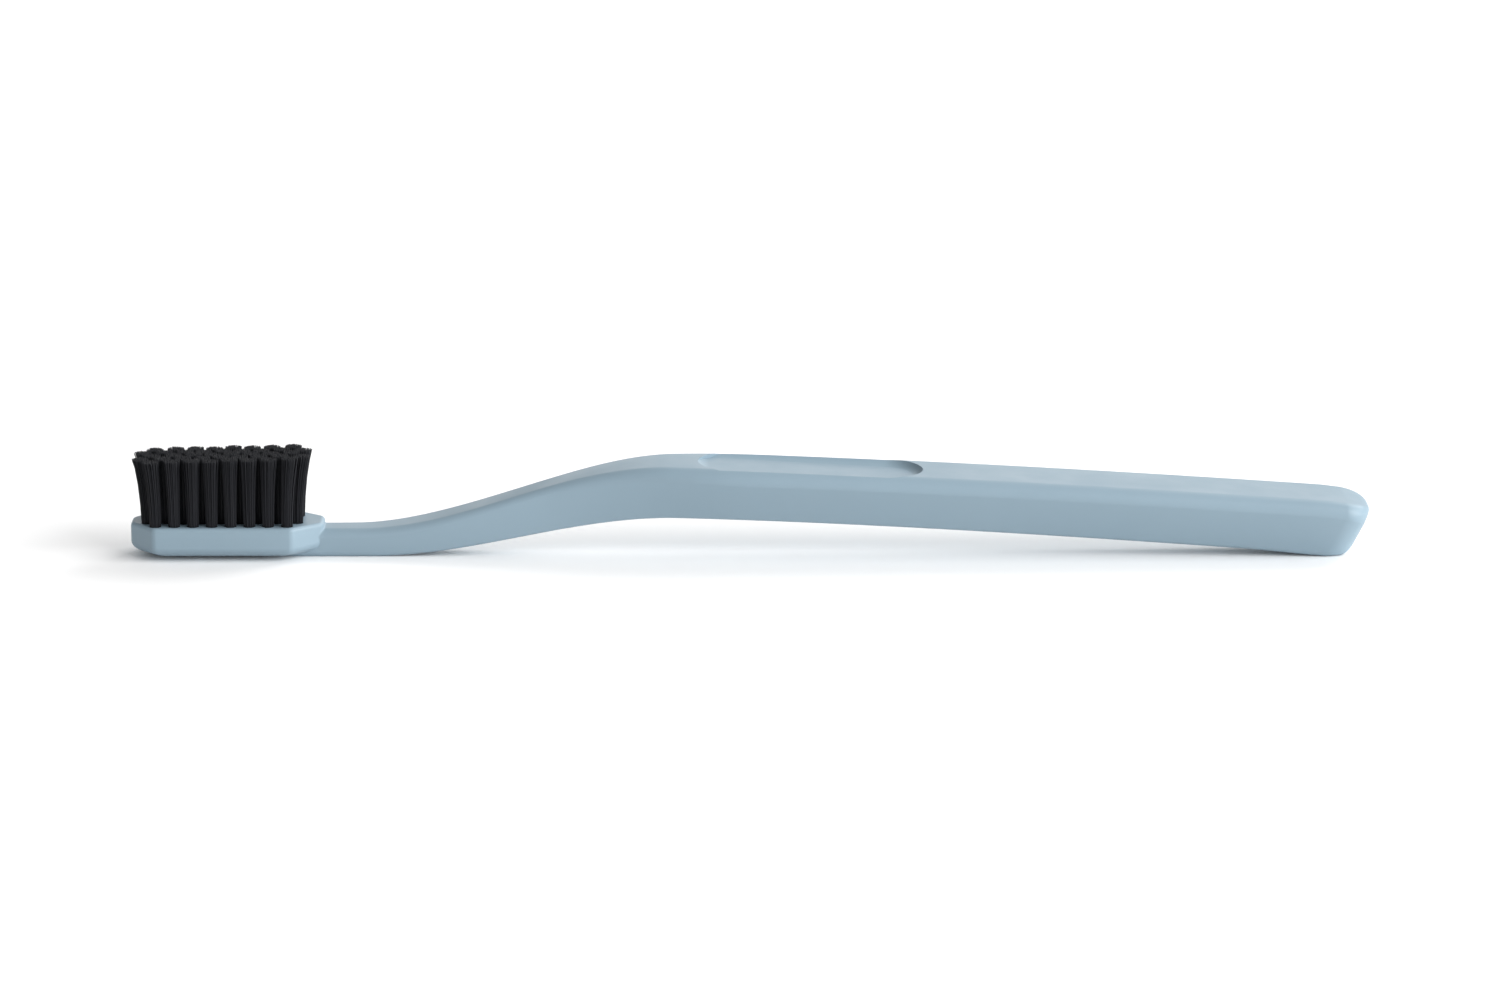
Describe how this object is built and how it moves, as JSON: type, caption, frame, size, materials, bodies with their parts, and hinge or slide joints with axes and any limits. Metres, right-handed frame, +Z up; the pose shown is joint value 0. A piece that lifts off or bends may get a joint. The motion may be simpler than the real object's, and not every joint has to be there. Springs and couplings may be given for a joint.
{
  "type": "toothbrush",
  "caption": "Manual toothbrush with an arched neck, a thumb rest in a straight tapering grip, and staggered tufts of dark bristles on a flat narrow head.",
  "frame": {"origin": "on the table, under the middle of the brush, with the brush lying on its back and its bristles up", "axes": "+X runs from the tip of the head to the end of the grip, +Y across the brush, +Z up, out of the bristle face"},
  "size_m": [0.19, 0.0132, 0.0161],
  "materials": {
    "handle_plastic": "opaque grey-blue moulded plastic with a soft satin sheen",
    "bristle_nylon": "near-black nylon filament, faintly glossy along each strand",
    "anchor_metal": "thin bright flat wire, out of sight in the head"
  },
  "bodies": {
    "root": {"handle": "handle_plastic", "tuft_row1_no1": "bristle_nylon", "tuft_row1_no2": "bristle_nylon", "tuft_row1_no3": "bristle_nylon", "tuft_row1_no4": "bristle_nylon", "tuft_row1_no5": "bristle_nylon", "tuft_row1_no6": "bristle_nylon", "tuft_row1_no7": "bristle_nylon", "tuft_row1_no8": "bristle_nylon", "tuft_row2_no1": "bristle_nylon", "tuft_row2_no2": "bristle_nylon", "tuft_row2_no3": "bristle_nylon", "tuft_row2_no4": "bristle_nylon", "tuft_row2_no5": "bristle_nylon", "tuft_row2_no6": "bristle_nylon", "tuft_row2_no7": "bristle_nylon", "tuft_row2_no8": "bristle_nylon", "tuft_row2_no9": "bristle_nylon", "tuft_row3_no1": "bristle_nylon", "tuft_row3_no2": "bristle_nylon", "tuft_row3_no3": "bristle_nylon", "tuft_row3_no4": "bristle_nylon", "tuft_row3_no5": "bristle_nylon", "tuft_row3_no6": "bristle_nylon", "tuft_row3_no7": "bristle_nylon", "tuft_row3_no8": "bristle_nylon", "tuft_row4_no1": "bristle_nylon", "tuft_row4_no2": "bristle_nylon", "tuft_row4_no3": "bristle_nylon", "tuft_row4_no4": "bristle_nylon", "tuft_row4_no5": "bristle_nylon", "tuft_row4_no6": "bristle_nylon", "tuft_row4_no7": "bristle_nylon", "tuft_row4_no8": "bristle_nylon", "tuft_row4_no9": "bristle_nylon", "tuft_row5_no1": "bristle_nylon", "tuft_row5_no2": "bristle_nylon", "tuft_row5_no3": "bristle_nylon", "tuft_row5_no4": "bristle_nylon", "tuft_row5_no5": "bristle_nylon", "tuft_row5_no6": "bristle_nylon", "tuft_row5_no7": "bristle_nylon", "tuft_row5_no8": "bristle_nylon", "anchors_row1": "anchor_metal", "anchors_row2": "anchor_metal", "anchors_row3": "anchor_metal", "anchors_row4": "anchor_metal", "anchors_row5": "anchor_metal"}
  },
  "joints": []
}
